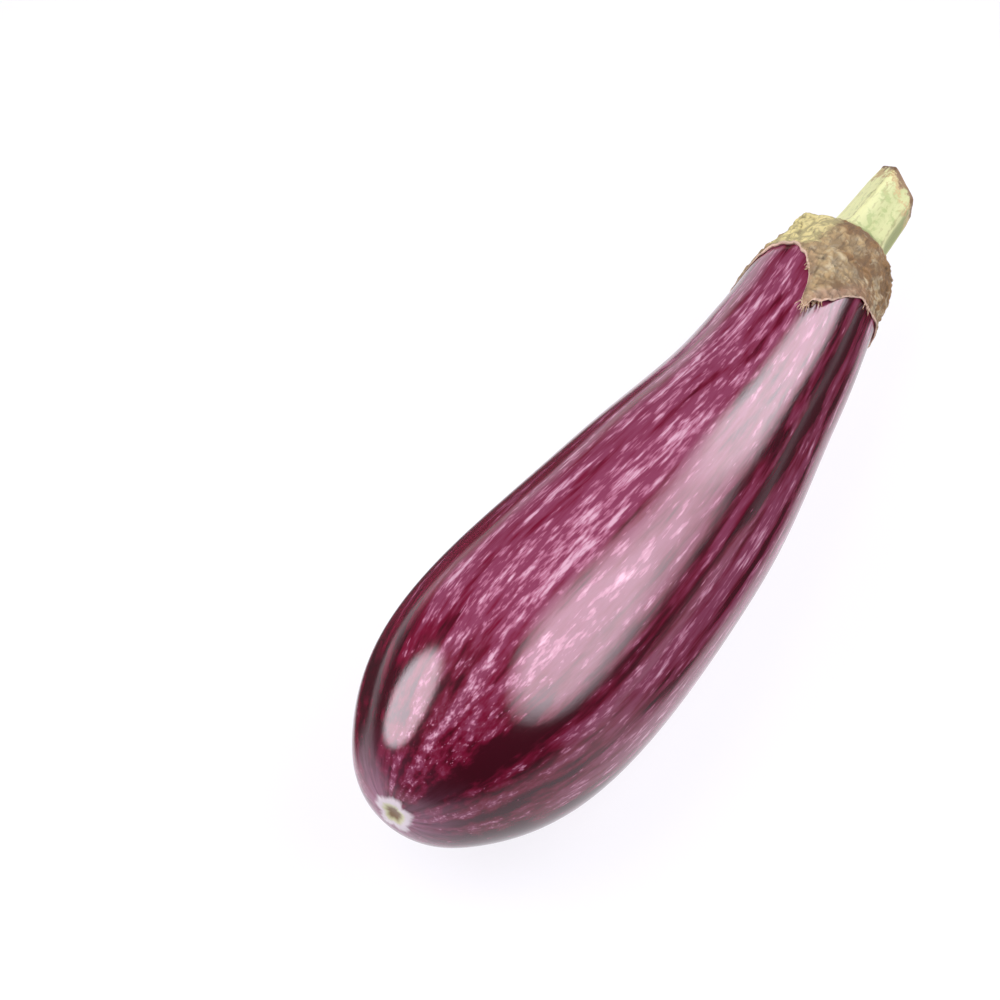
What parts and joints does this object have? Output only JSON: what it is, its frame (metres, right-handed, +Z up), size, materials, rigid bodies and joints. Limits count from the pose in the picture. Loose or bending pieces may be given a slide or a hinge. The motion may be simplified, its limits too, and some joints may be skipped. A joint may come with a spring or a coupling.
{
  "type": "eggplant",
  "caption": "Striped purple eggplant lying on its side, with a dried lobed calyx clasping its neck and a short ribbed green stem.",
  "frame": {"origin": "centre of the bounding box, on the surface the eggplant lies on", "axes": "+X from the blossom end to the stem, +Z up, and the middle bows towards -Y"},
  "size_m": [0.217, 0.0604, 0.0596],
  "materials": {
    "fruit_skin": "glossy living skin, deep purple with pale pink lengthwise streaks",
    "dried_calyx": "dry, wrinkled and matt, tan to brown with yellow-green patches",
    "green_stem": "fresh yellow-green stalk, satin, with a dried brown cut end"
  },
  "bodies": {
    "root": {"fruit": "fruit_skin", "calyx": "dried_calyx", "stem": "green_stem"}
  },
  "joints": []
}
